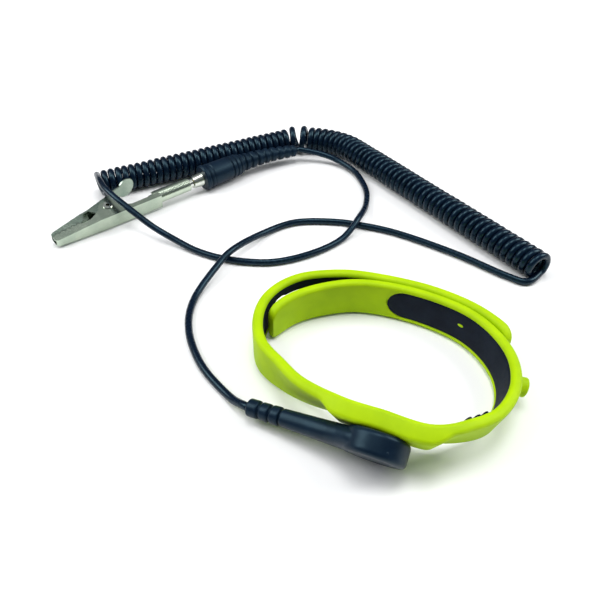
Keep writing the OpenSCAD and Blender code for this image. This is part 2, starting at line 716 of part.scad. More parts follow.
module lever_jaw() {
  s = sheet_t;
  w = clip_w / 2 - s - gap;
  pad_d = 7.6;
  pad_at = [-27.4, 10.6];
  pad_turn = 16;
  front = [tip_x, tip_half];
  join_w = jaw_half(-49);
  plan = [[front[0], -front[1]], [-49, -join_w], [-45.6, -w], [-33, -w], [-33, w], [-45.6, w],
          [-49, join_w], front];
  inner = [[tip_x - 1, -tip_half + s], [tip_x, -tip_half + s], [-49, -join_w + s], [-45.6, -w + s],
           [-32, -w + s], [-32, w - s], [-45.6, w - s], [-49, join_w - s], [tip_x, tip_half - s],
           [tip_x - 1, tip_half - s]];
  // far edge of the lever, from the tip to the root of the pad
  far = [[-33, 8.9], [-46, 4.6], [tip_x + 1, 1.7], [tip_x + 0.2, 1.3]];
  near = [for (p = far) [p[0] + 0.1, p[1] - s - 0.06]];
  hollow = [[-32, near[0][1] + 0.3], near[1], [tip_x - 1, near[2][1] - 0.6], [tip_x - 1, -5], [-32, -5]];
  side = concat([[-33, 6.5], [-33, 8.9], [-46, 4.6], [tip_x + 1, 1.7], [tip_x, 1], [tip_x, bite - 0.3]],
                teeth(bite),
                [[-48.8, 1], [-47.8, 3.3], [-45.6, 4], [-44.2, 2.6], [-42.6, 0.6], [-40, 0.1], [-37, 0.1],
                 [-35.2, 1.4]]);
  color(nickel)
    clip_frame()
      difference() {
        union() {
          folded(plan, inner, side, hollow);
          translate([pad_at[0], pad_at[1], 0])
            rotate([0, 0, pad_turn])
              rotate([90, 0, 0])
                linear_extrude(s, center = true)
                  union() {
                    circle(d = pad_d, $fn = 64);
                    translate([-8, -w]) square([8, 2 * w]);
                  }
        }
        translate([rivet_at[0], rivet_at[1], 0])
          cylinder(d = pivot_d + 2 * gap, h = 20, center = true, $fn = 48);
      }
}

// hollow rivet with a rolled head on each cheek
module clip_rivet() {
  w = clip_w / 2;
  bore = 0.7;
  head = 1.75;
  color(nickel)
    clip_frame()
      translate([rivet_at[0], rivet_at[1], 0])
        rotate_extrude($fn = 64)
          polygon([[bore, -w - 0.4], [head - 0.2, -w - 0.4], [head, -w - 0.2], [head, -w - 0.02],
                   [pivot_d / 2, -w - 0.02], [pivot_d / 2, w + 0.02], [head, w + 0.02], [head, w + 0.2],
                   [head - 0.2, w + 0.4], [bore, w + 0.4]]);
}

// torsion spring round the rivet: coils as a sleeve of the wire's thickness, with its two legs
module clip_spring() {
  wire = 0.6;
  r0 = pivot_d / 2 + 0.15;
  half = 1.2;
  module leg(a, b) {
    d = b - a;
    translate([a[0], a[1], a[2]])
      rotate([0, 90, atan2(d[1], d[0])])
        cylinder(d = wire, h = norm(d), $fn = 24);
  }
  color(nickel)
    clip_frame() {
      translate([rivet_at[0], rivet_at[1], -half])
        difference() {
          cylinder(r = r0 + wire, h = 2 * half, $fn = 48);
          translate([0, 0, -cut])
            cylinder(r = r0, h = 2 * half + 2 * cut, $fn = 48);
        }
      leg([rivet_at[0] + 1, rivet_at[1] - r0 - 0.25, 0.8], [-29.5, back_y + sheet_t + wire / 2 + 0.1, 0.8]);
      leg([rivet_at[0] + 1, rivet_at[1] + r0 + 0.25, -0.8], [-33, 7.3, -0.8]);
    }
}

band();
contact_lining();
snap_stud();
stud_backplate();
snap_boot();
socket_cup();
socket_spring();
socket_tab();
resistor_body();
resistor_caps();
resistor_leads();
boot_crimp();
cord_leads();
cord_coil();
cord_conductor();
plug_handle();
bend_relief();
plug_pin();
plug_spring();
plug_crimp();
main_jaw();
lever_jaw();
clip_rivet();
clip_spring();
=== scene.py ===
import math

import bmesh
import bpy
from mathutils import Matrix, Vector, noise


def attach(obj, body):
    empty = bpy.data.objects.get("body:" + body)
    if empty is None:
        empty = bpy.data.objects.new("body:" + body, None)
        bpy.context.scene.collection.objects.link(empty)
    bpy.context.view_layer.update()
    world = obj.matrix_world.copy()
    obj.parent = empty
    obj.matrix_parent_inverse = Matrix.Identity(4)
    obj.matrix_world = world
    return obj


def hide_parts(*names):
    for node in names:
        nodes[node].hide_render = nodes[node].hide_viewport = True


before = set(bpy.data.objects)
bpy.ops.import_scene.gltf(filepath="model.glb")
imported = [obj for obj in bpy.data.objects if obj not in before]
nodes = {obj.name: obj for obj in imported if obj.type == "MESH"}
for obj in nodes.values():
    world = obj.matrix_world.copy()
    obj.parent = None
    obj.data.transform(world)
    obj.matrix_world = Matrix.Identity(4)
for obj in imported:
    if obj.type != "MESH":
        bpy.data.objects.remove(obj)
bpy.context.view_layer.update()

MM = 0.001  # all lengths below are in millimetres, turned to metres when a mesh is made
UP = Vector((0, 0, 1))


def rad(a):
    return math.radians(a)


def heading(a):
    return Vector((math.cos(rad(a)), math.sin(rad(a)), 0))


# ---------------------------------------------------------------- materials

grain_depth = 0.00006  # height of the surface grain in metres

def make_material(name, dark, light, rough, metallic=0.0, grain=(900, 900, 900), turn=0.0, patch=160,
                  bump=0.15, fine=2600, specular=0.5, tint=(1, 1, 1)):
    """A procedural surface: colour drifts between dark and light, with uneven gloss and a fine bumpy grain."""
    mat = bpy.data.materials.new(name)
    mat.use_nodes = True
    tree = mat.node_tree
    tree.nodes.clear()
    add = tree.nodes.new
    link = tree.links.new
    out = add("ShaderNodeOutputMaterial")
    shader = add("ShaderNodeBsdfPrincipled")
    coord = add("ShaderNodeTexCoord")
    place = add("ShaderNodeMapping")
    place.inputs["Rotation"].default_value = (0, 0, rad(-turn))
    place.inputs["Scale"].default_value = grain
    spread = add("ShaderNodeTexNoise")
    spread.inputs["Scale"].default_value = patch
    spread.inputs["Detail"].default_value = 4
    ramp = add("ShaderNodeValToRGB")
    ramp.color_ramp.elements[0].position = 0.32
    ramp.color_ramp.elements[0].color = (*dark, 1)
    ramp.color_ramp.elements[1].position = 0.68
    ramp.color_ramp.elements[1].color = (*light, 1)
    streak = add("ShaderNodeTexNoise")
    streak.inputs["Scale"].default_value = 1.0
    streak.inputs["Detail"].default_value = 5
    gloss = add("ShaderNodeMapRange")
    gloss.inputs["To Min"].default_value = rough[0]
    gloss.inputs["To Max"].default_value = rough[1]
    pores = add("ShaderNodeTexNoise")
    pores.inputs["Scale"].default_value = fine
    pores.inputs["Detail"].default_value = 3
    mix = add("ShaderNodeMath")
    mix.operation = "ADD"
    relief = add("ShaderNodeBump")
    relief.inputs["Strength"].default_value = bump
    relief.inputs["Distance"].default_value = grain_depth
    link(coord.outputs["Object"], place.inputs["Vector"])
    link(coord.outputs["Object"], spread.inputs["Vector"])
    link(coord.outputs["Object"], pores.inputs["Vector"])
    link(place.outputs["Vector"], streak.inputs["Vector"])
    link(spread.outputs["Fac"], ramp.inputs["Fac"])
    link(ramp.outputs["Color"], shader.inputs["Base Color"])
    link(streak.outputs["Fac"], gloss.inputs["Value"])
    link(gloss.outputs["Result"], shader.inputs["Roughness"])
    link(streak.outputs["Fac"], mix.inputs[0])
    link(pores.outputs["Fac"], mix.inputs[1])
    link(mix.outputs["Value"], relief.inputs["Height"])
    link(relief.outputs["Normal"], shader.inputs["Normal"])
    link(shader.outputs["BSDF"], out.inputs["Surface"])
    shader.inputs["Metallic"].default_value = metallic
    shader.inputs["Specular Tint"].default_value = (*tint, 1)
    shader.inputs["Specular IOR Level"].default_value = specular
    return mat


plug_turn = 38.1  # direction of the plug and clip on the table, in degrees
rolled_grain = (250, 6000, 6000)  # streaks along the clip
strand_grain = (5000, 300, 300)
LIME = make_material("lime_rubber", (0.35, 0.55, 0.0), (0.41, 0.62, 0.0), (0.5, 0.62), bump=0.10, specular=0.14)
LINING = make_material("conductive_rubber", (0.003, 0.006, 0.014), (0.006, 0.011, 0.022), (0.6, 0.8),
                       bump=0.35, fine=3800, specular=0.14)
PLASTIC = make_material("black_moulding", (0.002, 0.007, 0.018), (0.004, 0.012, 0.027), (0.30, 0.46),
                        bump=0.18, specular=0.26, tint=(0.5, 0.85, 1.0))
CORD = make_material("cord_rubber", (0.001, 0.004, 0.013), (0.002, 0.007, 0.020), (0.2, 0.34),
                     bump=0.08, specular=0.3, tint=(0.45, 0.85, 1.0))
STEEL = make_material("clip_steel", (0.40, 0.48, 0.39), (0.54, 0.62, 0.50), (0.16, 0.30),
                      metallic=1.0, grain=rolled_grain, turn=plug_turn, bump=0.12)
# the lever jaw is the same steel as the main jaw painted darker: painted shade for its top cheek
SHADED_LEVER_STEEL = make_material("lever_steel_painted_shade", (0.26, 0.34, 0.28), (0.38, 0.46, 0.38), (0.2, 0.34),
                            metallic=1.0, grain=rolled_grain, turn=plug_turn, bump=0.12)
NICKEL = make_material("nickel", (0.60, 0.64, 0.58), (0.70, 0.73, 0.66), (0.14, 0.26),
                       metallic=1.0, bump=0.04)
BRASS = make_material("spring_brass", (0.66, 0.48, 0.20), (0.80, 0.62, 0.30), (0.2, 0.34),
                      metallic=1.0, bump=0.05)
COPPER = make_material("copper", (0.62, 0.30, 0.16), (0.78, 0.42, 0.24), (0.28, 0.42),
                       metallic=1.0, grain=strand_grain, bump=0.3)
CERAMIC = make_material("ceramic", (0.24, 0.46, 0.62), (0.32, 0.55, 0.70), (0.3, 0.42), bump=0.1)

# ---------------------------------------------------------------- mesh helpers


def make_object(name, verts, faces, mat, body=None, slot=None):
    """A closed smooth mesh from millimetre points, riding on a body of the frame if one is named."""
    mesh = bpy.data.meshes.new(name)
    mesh.from_pydata([Vector(v) * MM for v in verts], [], faces)
    work = bmesh.new()
    work.from_mesh(mesh)
    bmesh.ops.recalc_face_normals(work, faces=work.faces)
    work.to_mesh(mesh)
    work.free()
    obj = bpy.data.objects.new(name, mesh)
    bpy.context.scene.collection.objects.link(obj)
    finish_object(obj, mat)
    if body:
        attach(obj, body)
    return obj


def finish_object(obj, mat):
    obj.data.materials.clear()
    obj.data.materials.append(mat)
    obj.data.polygons.foreach_set("use_smooth", [True] * len(obj.data.polygons))
    obj.data.update()


def sharp(obj, angle=35):
    obj.data.set_sharp_from_angle(angle=rad(angle))


def loft(rings):
    """Vertices and faces of a closed solid through rings of equal length."""
    n = len(rings[0])
    verts = [p for r in rings for p in r]
    faces = []
    for j in range(len(rings) - 1):
        a, b = j * n, (j + 1) * n
        for i in range(n):
            k = (i + 1) % n
            faces.append((a + i, a + k, b + k, b + i))
    faces.append(tuple(range(n - 1, -1, -1)))
    last = (len(rings) - 1) * n
    faces.append(tuple(range(last, last + n)))
    return verts, faces


def tube_rings(points, radius, sides):
    """Rings of a round tube along points, carried forward without twist; radius is a function of the index."""
    rings = []
    side = None
    for i, p in enumerate(points):
        t = (points[min(i + 1, len(points) - 1)] - points[max(i - 1, 0)]).normalized()
        if side is None:
            side = t.cross(UP).normalized()
        side = (side - t * side.dot(t)).normalized()
        top = side.cross(t)
        r = radius(i)
        angles = [2 * math.pi * k / sides for k in range(sides)]
        rings.append([p + side * (r * math.cos(f)) + top * (r * math.sin(f)) for f in angles])
    return rings


def revolve(profile, place, sides=64):
    """Rings of [radius, height] turned about the local z axis of a placement matrix."""
    angles = [2 * math.pi * k / sides for k in range(sides)]
    return [[place @ Vector((r * math.cos(f), r * math.sin(f), z)) for f in angles] for r, z in profile]


def spline(a, b, c, d, t):
    """A point between b and c at t from 0 to 1, on the smooth curve through all four."""
    return 0.5 * (2 * b + (c - a) * t + (2 * a - 5 * b + 4 * c - d) * t * t
                  + (3 * b - a - 3 * c + d) * t * t * t)


def smooth_path(points, per):
    """Points along a smooth curve through the given points."""
    pts = [Vector(p) for p in points]
    n = len(pts)
    out = []
    for i in range(n - 1):
        for k in range(per):
            out.append(spline(pts[max(i - 1, 0)], pts[i], pts[i + 1], pts[min(i + 2, n - 1)], k / per))
    out.append(pts[-1])
    return out


def join_meshes(name, parts, mat):
    """One object from several closed meshes given as (verts, faces)."""
    verts, faces = [], []
    for v, f in parts:
        base = len(verts)
        verts += list(v)
        faces += [tuple(i + base for i in face) for face in f]
    return make_object(name, verts, faces, mat)


def bake(obj):
    """Applies the modifiers of an object."""
    bpy.context.view_layer.update()
    depsgraph = bpy.context.evaluated_depsgraph_get()
    mesh = bpy.data.meshes.new_from_object(obj.evaluated_get(depsgraph))
    obj.modifiers.clear()
    old = obj.data
    obj.data = mesh
    bpy.data.meshes.remove(old)


# ---------------------------------------------------------------- frames shared with the design

boss_at = Vector((-4, -28.4, 9.7))
boss_turn, boss_lean, boot_drop = -22.5, 31, 8
boss = (Matrix.Translation(boss_at) @ Matrix.Rotation(rad(boss_turn), 4, "Z")
        @ Matrix.Rotation(rad(90 + boss_lean), 4, "X"))  # local z runs out of the boss, through the stud
seat_gap, head_t, head_d, boot_len = 0.3, 6.2, 16, 35
neck = (boss @ Matrix.Translation((0, 0, seat_gap + head_t / 2)) @ Matrix.Rotation(rad(180 + boot_drop), 4, "Z")
        @ Matrix.Rotation(rad(90), 4, "Y"))  # local z runs down the neck to the tail
plug_pitch, grip_len = 2, 17.5
plug = (Matrix.Translation((-61.2, 97.6, 5)) @ Matrix.Rotation(rad(plug_turn), 4, "Z")
        @ Matrix.Rotation(rad(-plug_pitch), 4, "Y"))
relief_start = plug @ Vector((grip_len, 0, 0))
relief_end = Vector((-25.1, 120.5, 5))

# ---------------------------------------------------------------- wristband

band_w, band_t, boss_t = 12, 3, 5
lining_w, lining_t = 9, 0.8
wrap = band_t + 0.22  # from the inner turn's inner face to the outer turn's
mid_z = band_w / 2 + 0.17
# the band's path: x, y and z of the inner face at mid width, and the lean of its top edge outward in degrees
loop_start = [(-30.8, 12.4, mid_z, -1), (-23.6, 19.1, mid_z, -3), (-14.5, 23, mid_z, -1),
              (-5, 24.3, mid_z, 0), (5.5, 22, mid_z, 3), (15, 17.7, mid_z, 5),
              (23.4, 11.4, mid_z + 0.1, 7), (28.4, 3.6, mid_z + 0.25, 9), (30.5, -5.3, mid_z + 0.4, 12),
              (28.8, -14.2, mid_z + 0.7, 14), (23.4, -21.9, mid_z + 1.8, 17), (16, -26.3, mid_z + 3.9, 22)]
boss_stations = (10.5, 0, -9.5)
loop_boss = [(*(boss @ Vector((x, 0, -boss_t))), boss_lean) for x in boss_stations]
loop_left = [(-20.4, -13.2, mid_z + 2.8, 21), (-26.6, -6, mid_z + 0.8, 7), (-32, 1.5, mid_z, 0),
             (-33.4, 9.5, mid_z, 0), (-31.9, 17.6, mid_z, 0), (-27.6, 23.8, mid_z, 0), (-21.2, 27.7, mid_z, 0),
             (-12.5, 29, mid_z, 0)]
tail_pull = (0.9, 0, 0, 0, 0.5, 1.6)  # how far the tail stands off the inner turn, station by station
tail_over = 3  # the inner turn's station where the tail starts to lie over it
loop_tail = []
for k, pull in enumerate(tail_pull):
    i = tail_over + k
    q = loop_start[i]
    dx, dy = loop_start[i + 1][0] - loop_start[i - 1][0], loop_start[i + 1][1] - loop_start[i - 1][1]
    n = math.hypot(dx, dy)
    loop_tail.append((q[0] - dy / n * (wrap + pull), q[1] + dx / n * (wrap + pull), q[2], q[3]))
knots = [Vector(k) for k in (*loop_start, *loop_boss, *loop_left, *loop_tail)]
u_end = len(knots) - 1.75
boss_u = len(loop_start) + 1
boss_reach, boss_rise, boss_fall = 1.47, 0.5, 0.42  # the thick boss to each side, and its two steps
tail_round = 0.4
lining_u0, lining_u1, lining_taper = 3.78, u_end - 0.8, 0.5


tangent_step = 0.02


def band_pt(u):
    """Path point and lean at u, which counts stations along the band."""
    i = math.floor(u)
    pick = [knots[max(0, min(len(knots) - 1, i + k))] for k in (-1, 0, 1, 2)]
    return spline(*pick, u - i)


def band_frame(u):
    """Point at the inner face at mid width, outward direction, and lean at u."""
    p = band_pt(u)
    d = band_pt(u + tangent_step) - band_pt(u - tangent_step)
    n = math.hypot(d[0], d[1])
    return p, Vector((-d[1] / n, d[0] / n, 0)), rad(p[3])


def band_xyz(u, a, b):
    """A point at depth a outward from the inner face and height b above mid width."""
    p, out, lean = band_frame(u)
    return (Vector(p[:3]) + out * (a * math.cos(lean) + b * math.sin(lean))
            + UP * (b * math.cos(lean) - a * math.sin(lean)))


def on_band(u):
    """Placement with local z along the outward normal and local y up the band."""
    p, out, lean = band_frame(u)
    return (Matrix.Translation(p[:3]) @ Matrix.Rotation(math.atan2(out[0], -out[1]), 4, "Z")
            @ Matrix.Rotation(rad(90) + lean, 4, "X"))


def ease(x):
    """A soft step from 0 to 1."""
    c = max(0.0, min(1.0, x))
    return c * c * (3 - 2 * c)


def thick(u):
    """Thickness of the band, which rises to the boss at the front."""
    into, out = (u - boss_u + boss_reach) / boss_rise, (boss_u + boss_reach - u) / boss_fall
    return band_t + (boss_t - band_t) * ease(into) * ease(out)


def round_over(d):
    """Share of full width at distance d from a rounded end, d running from 0 to 1."""
    d = max(0.0, min(1.0, d + 0.02))
    return math.sqrt(1 - (1 - d) ** 2)


def half_widths(u):
    """Half width below and above the middle: the tail's end is blunt, the inner end slants back at its top."""
    tail = 0.45 + 0.55 * round_over((u_end - u) / tail_round)
    low = 0.6 + 0.4 * round_over(u / 0.3)
    high = 0.1 + 0.9 * round_over(u / 0.75)
    return band_w / 2 * min(tail, low), band_w / 2 * min(tail, high)


def lining_half(u):
    """Half width of the lining, which has rounded ends."""
    d = max(0.0, min(1.0, min(u - lining_u0, lining_u1 - u) / lining_taper))
    return lining_w / 2 * math.sqrt(1 - (1 - d) ** 2)


corner_r = 1.15  # of the band's edges
corner_steps = 6


def band_section(u):
    """Outline of the band at u as depth and height, with the lining's recess in its inner face."""
    low, high = half_widths(u)
    t = thick(u) * (0.55 + 0.45 * round_over(min(u, u_end - u) / tail_round))
    half = lining_half(u)
    g = max(0.03, half + 0.05)
    d = lining_t if half > 0 else 0.0
    c = max(0.05, min(corner_r, t / 2 - 0.1, high - 0.5))
    lip = min(0.25, max(0.0, min(low, high) - g) * 0.3)
    dip = lip * 0.3 * ease(half)

    def quarter(a, b, sa, sb, back):
        out = []
        for k in range(corner_steps + 1):
            f = math.pi / 2 * ((corner_steps - k) if back else k) / corner_steps
            out.append((a + sa * c * (1 - math.cos(f)), b - sb * c * (1 - math.sin(f))))
        return out

    pts = [(d, -g), (d, -g / 3), (d, g / 3), (d, g), (dip, g + lip * 0.2), (0, g + lip)]
    pts += quarter(0, high, 1, 1, False)
    pts += quarter(t, high, -1, 1, True)
    pts += [(t, high / 3), (t, -low / 3)]
    pts += quarter(t, -low, -1, -1, False)
    pts += quarter(0, -low, 1, -1, True)
    pts += [(0, -g - lip), (dip, -g - lip * 0.2)]
    return pts


band_steps = 560
band_rings = [[band_xyz(u_end * j / band_steps, a, b) for a, b in band_section(u_end * j / band_steps)]
              for j in range(band_steps + 1)]
band = make_object("wristband", *loft(band_rings), LIME)

peg_d, peg_h = 5.4, 2.2
slot_len, slot_h, slot_neck, slot_wide = 12.5, 4.8, 3.8, 6.4
slots_u = (20.17, 23.3)
peg_u, free_peg_u = 5.95, 8.5
free_peg_up, free_peg_more = 0.7, 0.9
end_steps = 16


def stadium_cutter(u, length, height, grow, shift=0.0):
    """A closed prism through the band at u, shifted along it."""
    place = on_band(u) @ Matrix.Translation((shift, 0, 0))
    ring = []
    for s, first in ((1, -90), (-1, 90)):
        for k in range(end_steps + 1):
            f = rad(first + 180 * k / end_steps)
            ring.append((s * (length - height) / 2 + height / 2 * math.cos(f), height / 2 * math.sin(f)))
    rings = [[place @ Vector((x, y, z)) for x, y in ring] for z in (-grow, band_t + grow)]
    return make_object("cutter", *loft(rings), LIME)


def cut_with(obj, cutters):
    """Cuts an object with closed meshes and removes them."""
    for c in cutters:
        m = obj.modifiers.new("cut", "BOOLEAN")
        m.operation = "DIFFERENCE"
        m.solver = "EXACT"
        m.object = c
    bake(obj)
    for c in cutters:
        bpy.data.objects.remove(c)


def peg_mesh(u, name, up, tall):
    """Locking peg at u: a short post with a domed top and a soft root, up above mid width."""
    place = on_band(u) @ Matrix.Translation((0, up, 0))
    r = peg_d / 2
    top = band_t + tall
    profile = [(0.01, band_t - 1), (r, band_t - 1), (r + 0.35, band_t - 0.05), (r + 0.1, band_t + 0.2),
               (r - 0.1, band_t + 0.5), (r - 0.05, top - 0.8), (r, top - 0.5), (r - 0.12, top - 0.22),
               (r - 0.45, top - 0.02), (r * 0.6, top + 0.12), (0.01, top + 0.18)]
    return make_object(name, *loft(revolve(profile, place, 40)), LIME, "wristband", "strap_rubber")


def keyhole(u, trim):
    """Cutters for a slot: a wide hole that passes a peg's head and a narrow run for its neck."""
    return [stadium_cutter(u, slot_len - trim, slot_neck - trim, 1.5),
            stadium_cutter(u, slot_wide - trim, slot_h - trim, 1.6, (slot_len - slot_wide) / 2)]


cut_with(band, [c for u in slots_u for c in keyhole(u, 0)])
finish_object(band, LIME)
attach(band, "wristband")
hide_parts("band")
peg_mesh(peg_u, "peg_covered", 0, peg_h)
peg_mesh(free_peg_u, "peg_free", free_peg_up, peg_h + free_peg_more)

# lining: slightly domed strip in its recess
lining_steps = 300
lining_rings = []
face, back = 0.12, lining_t + 0.02  # depths of its two faces
for j in range(lining_steps + 1):
    u = lining_u0 + 0.01 + (lining_u1 - lining_u0 - 0.02) * j / lining_steps
    g = max(0.1, lining_half(u) - 0.02)
    strip = [(face + 0.16, -g), (face + 0.03, -g * 0.97), (face - 0.02, -g * 0.7), (face - 0.06, 0),
             (face - 0.02, g * 0.7), (face + 0.03, g * 0.97), (face + 0.16, g), (back, g), (back, -g)]
    lining_rings.append([band_xyz(u, a, b) for a, b in strip])
lining = make_object("contact_strip", *loft(lining_rings), LINING)
slot_trim = 0.3  # its slots are this much smaller than the band's
cut_with(lining, [c for u in slots_u for c in keyhole(u, slot_trim)])
finish_object(lining, LINING)
sharp(lining, 50)
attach(lining, "wristband")
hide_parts("contact_lining")


def blob(name, place, size, mat, body, slot, power=3.0):
    """A rounded block: a sphere pushed towards a box."""
    verts, faces = [], []
    rows, cols = 12, 24
    for i in range(rows + 1):
        el = -math.pi / 2 + math.pi * i / rows
        for k in range(cols):
            az = 2 * math.pi * k / cols
            v = Vector((math.cos(el) * math.cos(az), math.cos(el) * math.sin(az), math.sin(el)))
            s = sum(abs(c) ** power for c in v) ** (-1 / power)
            verts.append(place @ Vector((v.x * s * size[0], v.y * s * size[1], v.z * s * size[2])))
    for i in range(rows):
        for k in range(cols):
            n = (k + 1) % cols
            faces.append((i * cols + k, i * cols + n, (i + 1) * cols + n, (i + 1) * cols + k))
    return make_object(name, verts, faces, mat, body, slot)


# ribs on the lining at the front, which press on the wrist
rib_stations = (10.35, 10.65, 10.95)
for k, u in enumerate(rib_stations):
    blob("contact_rib_%d" % k, on_band(u) @ Matrix.Translation((0, 1.2, -0.2)), (0.55, 3.6, 0.6), LINING,
         "wristband", "conductive_rubber")
# back of the covered peg, showing through the lining
blob("peg_back", on_band(peg_u) @ Matrix.Translation((0, 0.6, 0.12)), (0.95, 0.42, 0.16), LIME,
     "wristband", "strap_rubber", 2.4)

# rivet disc on the lining behind the boss, with its shank through the stud
disc_top, disc_back, disc_r, shank_r, shank_top = -boss_t - 0.3, -boss_t + 0.3, 2.6, 1.0, 2.6
disc_profile = [(0.01, disc_top), (disc_r - 0.3, disc_top), (disc_r - 0.05, disc_top + 0.12),
                (disc_r, disc_back), (shank_r, disc_back), (shank_r, shank_top), (0.01, shank_top)]
disc = make_object("rivet_disc", *loft(revolve(disc_profile, boss, 48)), NICKEL, "wristband", "nickel")
sharp(disc, 40)
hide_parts("stud_backplate")

# ---------------------------------------------------------------- snap connector moulding


def head_rings():
    """The round head, a disc with rounded edges."""
    r, edge, steps = head_d / 2, 1.3, 6
    z0, z1 = seat_gap, seat_gap + head_t
    profile = [(0.01, z0), (r - edge, z0)]
    for k in range(1, steps + 1):
        f = math.pi / 2 * k / steps
        profile.append((r - edge + edge * math.sin(f), z0 + edge * (1 - math.cos(f))))
    for k in range(steps + 1):
        f = math.pi / 2 * k / steps
        profile.append((r - edge + edge * math.cos(f), z1 - edge + edge * math.sin(f)))
    profile.append((0.01, z1))
    return revolve(profile, boss, 96)


def neck_ring(x, wide, high, power=2.4, sides=48):
    """Rounded cross section at distance x down the neck; wide is along the disc, high across it."""
    ring = []
    for k in range(sides):
        f = 2 * math.pi * k / sides
        c, s = math.cos(f), math.sin(f)
        q = (abs(c) ** power + abs(s) ** power) ** (-1 / power)
        ring.append(neck @ Vector((high * c * q, wide * s * q, x)))
    return ring


# distance down the neck, half width, half height
neck_shape = [(0, 7.6, 3.05), (3, 7.2, 3.05), (6, 6.2, 3.0), (9, 4.9, 2.9), (12, 3.95, 2.8), (15, 3.4, 2.7),
              (18, 3.05, 2.6), (21, 2.8, 2.5), (23, 2.65, 2.42), (25, 2.5, 2.35)]
# distance down the neck and radius: the core of the strain relief, then its three collars
round_parts = [((24, 1.75), (boot_len - 0.4, 1.7)),
               ((25.6, 2.3), (25.8, 2.5), (27.9, 2.45), (28.1, 2.25)),
               ((28.7, 2.2), (28.9, 2.42), (31, 2.38), (31.2, 2.2)),
               ((31.8, 2.2), (32, 2.42), (34.7, 2.4), (35, 2.1))]
boot = join_meshes("snap_moulding", [
    loft(head_rings()),
    loft([neck_ring(x, w, h) for x, w, h in neck_shape]),
    *(loft([neck_ring(x, r, r, 2.0) for x, r in part]) for part in round_parts),
], PLASTIC)
voxel = 0.2
m = boot.modifiers.new("skin", "REMESH")
m.mode = "VOXEL"
m.voxel_size = voxel * MM
m = boot.modifiers.new("soften", "SMOOTH")
m.factor = 0.5
m.iterations = 6
bake(boot)
finish_object(boot, PLASTIC)
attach(boot, "cord_assembly")
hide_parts("snap_boot")
# gate mark on the head's rim
blob("gate_mark", boss @ Matrix.Rotation(rad(62), 4, "Z") @ Matrix.Translation((head_d / 2 - 0.05, 0, 4.6)),
     (0.12, 0.35, 0.35), PLASTIC, "cord_assembly", "black_plastic", 2.2)

# ---------------------------------------------------------------- cord: one tube from the snap to the plug

cord_r, r_coil = 1.15, 3.85
# the coil: heading and length of its left run, radius and angle of its bend, length of its right run
coil_a0, coil_l0, coil_bend_r, coil_turn, coil_l1 = 26.5, 76.5, 24.4, 81.5, 94.0
coil_at = Vector((-99.3, 93.6, 5))
bend_start = coil_at + coil_l0 * heading(coil_a0)
bend_mid = bend_start + coil_bend_r * heading(coil_a0 - 90)
coil_a1 = coil_a0 - coil_turn
bend_end = bend_mid + coil_bend_r * heading(coil_a1 + 90)
bend_len = coil_bend_r * rad(coil_turn)
coil_len = coil_l0 + bend_len + coil_l1


def coil_axis(s):
    """Point and heading of the coil's centre line at distance s from its left end."""
    if s < coil_l0:
        return coil_at + s * heading(coil_a0), coil_a0
    if s < coil_l0 + bend_len:
        a = coil_a0 - math.degrees((s - coil_l0) / coil_bend_r)
        return bend_mid + coil_bend_r * heading(a + 90), a
    return bend_end + (s - coil_l0 - bend_len) * heading(coil_a1), coil_a1


loose_at, loose_reach, loose_by = 84, 6.5, 0.55  # the turns at the top of the bend that are pulled open


def coil_point(s, phi):
    """A point of the helix: phi 0 is the left side of the axis, 90 the top."""
    c, a = coil_axis(s)
    wobble = noise.noise(Vector((s * 0.11, 3.7, 0)))
    lift = loose_by * loosened(s)
    r = r_coil + 0.12 * wobble + lift
    return c + r * (heading(a + 90) * math.cos(rad(phi)) + UP * math.sin(rad(phi))) + UP * lift


def loosened(s):
    """How far the turns at the top of the bend are pulled open, from 0 to 1."""
    return ease(1 - abs(s - loose_at) / loose_reach)


def pitch_share(s):
    """Pitch at s as a share of the average, a little uneven."""
    return 1 + loosened(s) + 0.06 * noise.noise(Vector((s * 0.35, 0, 9.1)))


end_gap = 1.3
phi_in, turns, phi_out = 40, 77, 100
phi_span = 360 * turns + phi_out - phi_in
samples = 4000
span = coil_len + 2 * end_gap
even_turns = sum(span / samples / pitch_share(-end_gap + span * (k + 0.5) / samples)
                 for k in range(samples))
pitch = even_turns / phi_span * 360
helix = []
phi, s, step = phi_in, coil_len + end_gap, (15)
while phi < phi_in + phi_span:
    helix.append(coil_point(s, phi))
    s -= pitch_share(s) * pitch * step / 360
    phi += step

floor_z = cord_r
# the lead from the snap to the coil's right end
lead_a = [(-42.3, -9.6, 1.4), (-50.8, 1.8, floor_z), (-56.2, 16, floor_z), (-56.4, 30, floor_z),
          (-50.5, 44.5, 3), (-45.4, 52.6, 4.2), (-36, 65.6, 1.6), (-25, 73, floor_z), (-12, 73.6, floor_z),
          (-1.6, 71.4, floor_z), (12, 66, floor_z), (30, 54.2, floor_z), (44.7, 42, floor_z),
          (51, 38.8, floor_z)]
# the lead from the coil's left end, over the clip, to the plug
lead_b = [(-97.4, 86.3, 11), (-94.1, 80.2, 11.3), (-89.4, 75, 10.5), (-85.3, 71.7, 9.2),
          (-81.1, 68.7, 7.6), (-75.1, 64.7, 5.2), (-67.8, 61.1, 2.6), (-58, 55.2, floor_z),
          (-46.8, 50.6, floor_z), (-33, 49.2, floor_z), (-20, 53.6, floor_z), (-8.4, 62.4, floor_z), (-1.6, 72, 4), (1.9, 84, 1.8),
          (2.8, 96, floor_z), (-0.6, 108.6, 1.6), (-7.6, 116.6, 2.6), (-15, 119.8, 4)]
coil_tip = coil_axis(coil_len)[0] + end_gap * heading(coil_a1)
last_turn = [coil_tip + r_coil * (heading(coil_a1 + 90) * math.cos(rad(a)) + UP * math.sin(rad(a)))
             for a in (-62, -25, 8)]
relief_dir = (relief_end - relief_start).normalized()
relief_bow = (relief_start + relief_end) / 2 + 0.8 * Vector((-math.sin(rad(30)), math.cos(rad(30)), 0.3))
